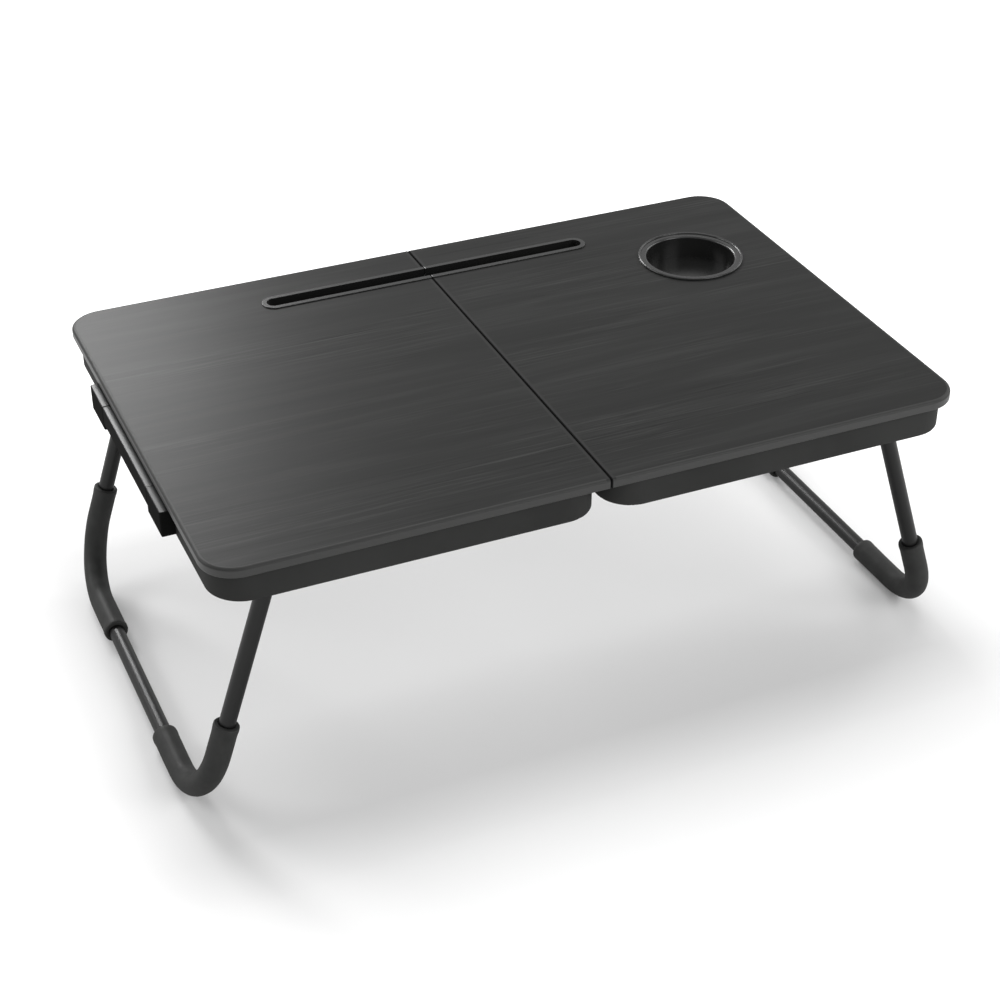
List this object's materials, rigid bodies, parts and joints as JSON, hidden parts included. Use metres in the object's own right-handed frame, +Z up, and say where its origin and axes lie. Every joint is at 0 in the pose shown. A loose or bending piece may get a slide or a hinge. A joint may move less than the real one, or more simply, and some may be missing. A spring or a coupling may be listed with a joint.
{
  "type": "laptop bed table",
  "caption": "Low folding lap table: hinged wood-grain top halves on U-shaped fold-in tube legs, with a tablet slot, a cup holder and a pull-out carry handle.",
  "frame": {"origin": "on the floor under the middle of the table, centre of the bounding box's bottom face", "axes": "+X to the user's right along the table's length, +Y away from the user, +Z up"},
  "size_m": [0.6478, 0.4, 0.2402],
  "materials": {
    "wood_top": "satin charcoal wood-grain laminate",
    "edge_band": "satin dark edging",
    "frame_plastic": "fine matte moulded plastic",
    "trim_plastic": "satin moulded plastic",
    "leg_paint": "glossy black powder paint",
    "sleeve_foam": "matte foam rubber",
    "plug_plastic": "matte plastic",
    "bracket_paint": "semi-matt black paint",
    "zinc_steel": "zinc-plated steel",
    "black_steel": "black oxide",
    "handle_plastic": "glossy moulded plastic",
    "handle_block_plastic": "satin moulded plastic"
  },
  "bodies": {
    "left_half": {"left_panel": "wood_top", "left_edge_band": "edge_band", "left_frame": "frame_plastic", "left_slot_trim": "trim_plastic", "left_front_leg_bracket": "bracket_paint", "front_hinge_left_leaf": "black_steel", "left_back_leg_bracket": "bracket_paint", "back_hinge_left_leaf": "black_steel", "left_leg_pins": "zinc_steel", "left_leg_clip": "plug_plastic", "left_frame_screws": "zinc_steel", "left_bracket_screws": "zinc_steel", "left_hinge_screws": "black_steel", "hinge_pins": "black_steel", "front_handle_block": "handle_block_plastic", "back_handle_block": "handle_block_plastic", "handle_screws": "zinc_steel"},
    "right_half": {"right_panel": "wood_top", "right_edge_band": "edge_band", "right_frame": "frame_plastic", "right_slot_trim": "trim_plastic", "right_front_leg_bracket": "bracket_paint", "front_hinge_right_leaf": "black_steel", "right_back_leg_bracket": "bracket_paint", "back_hinge_right_leaf": "black_steel", "right_leg_pins": "zinc_steel", "right_leg_clip": "plug_plastic", "right_frame_screws": "zinc_steel", "right_bracket_screws": "zinc_steel", "right_hinge_screws": "black_steel", "cup_holder": "trim_plastic"},
    "left_leg": {"left_leg_tube": "leg_paint", "left_leg_plugs": "plug_plastic", "left_front_sleeve": "sleeve_foam", "left_back_sleeve": "sleeve_foam"},
    "right_leg": {"right_leg_tube": "leg_paint", "right_leg_plugs": "plug_plastic", "right_front_sleeve": "sleeve_foam", "right_back_sleeve": "sleeve_foam"},
    "carry_handle": {"handle_grip": "handle_plastic", "handle_rods": "zinc_steel", "handle_collars": "zinc_steel"}
  },
  "joints": [
    {"name": "table_fold", "type": "hinge", "parent": "left_half", "child": "right_half", "pos_m": [0, 0, 0.20601], "axis": [0, 1, 0], "range_deg": [0, 112]},
    {"name": "left_leg_fold", "type": "hinge", "parent": "left_half", "child": "left_leg", "pos_m": [-0.2465, 0, 0.21826], "axis": [0, -1, 0], "range_deg": [0, 108]},
    {"name": "right_leg_fold", "type": "hinge", "parent": "right_half", "child": "right_leg", "pos_m": [0.2465, 0, 0.21826], "axis": [0, 1, 0], "range_deg": [0, 108]},
    {"name": "handle_slide", "type": "slide", "parent": "left_half", "child": "carry_handle", "axis": [-1, 0, 0], "range_m": [0, 0.018]}
  ]
}
